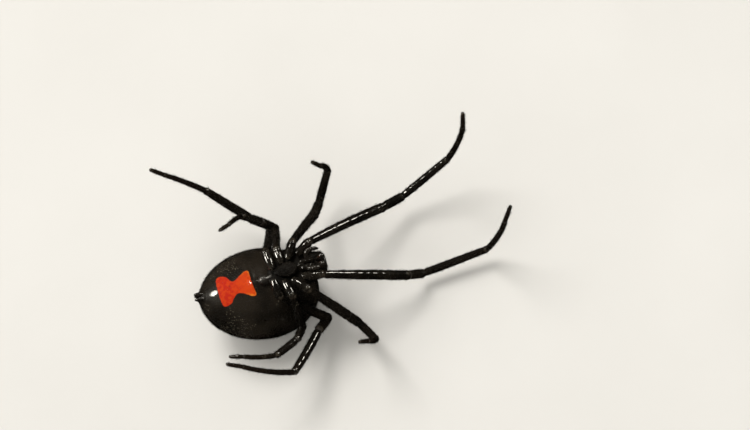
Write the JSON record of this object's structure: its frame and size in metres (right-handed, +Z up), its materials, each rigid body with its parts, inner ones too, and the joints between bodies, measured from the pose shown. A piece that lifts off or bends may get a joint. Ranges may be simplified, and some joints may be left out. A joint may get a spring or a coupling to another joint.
{
  "type": "spider",
  "caption": "Black widow spider, life size and still: round glossy abdomen with a red hourglass on the belly, small head and long thin bent legs, lying on its back.",
  "frame": {"origin": "on the floor under the middle of the model's bounding box", "axes": "+X towards the spider's head, +Y to the spider's own right, +Z up and out of its belly"},
  "size_m": [0.025, 0.0154, 0.0132],
  "materials": {
    "cuticle": "glossy jet-black cuticle with fine short setae",
    "brown_cuticle": "black-brown cuticle, a little duller",
    "red_mark": "smooth orange-red cuticle",
    "eye": "clear glossy black lens"
  },
  "bodies": {
    "root": {"abdomen": "cuticle", "hourglass": "red_mark", "prosoma": "cuticle", "pedicel": "brown_cuticle", "spinnerets": "brown_cuticle", "leg_left_1": "cuticle", "leg_left_2": "cuticle", "leg_left_3": "cuticle", "leg_left_4": "cuticle", "leg_right_1": "cuticle", "leg_right_2": "cuticle", "leg_right_3": "cuticle", "leg_right_4": "cuticle", "chelicera_left": "brown_cuticle", "chelicera_right": "brown_cuticle", "palp_left": "brown_cuticle", "palp_right": "brown_cuticle", "eye_anterior_median_left": "eye", "eye_anterior_median_right": "eye", "eye_anterior_lateral_left": "eye", "eye_anterior_lateral_right": "eye", "eye_posterior_median_left": "eye", "eye_posterior_median_right": "eye", "eye_posterior_lateral_left": "eye", "eye_posterior_lateral_right": "eye"}
  },
  "joints": []
}
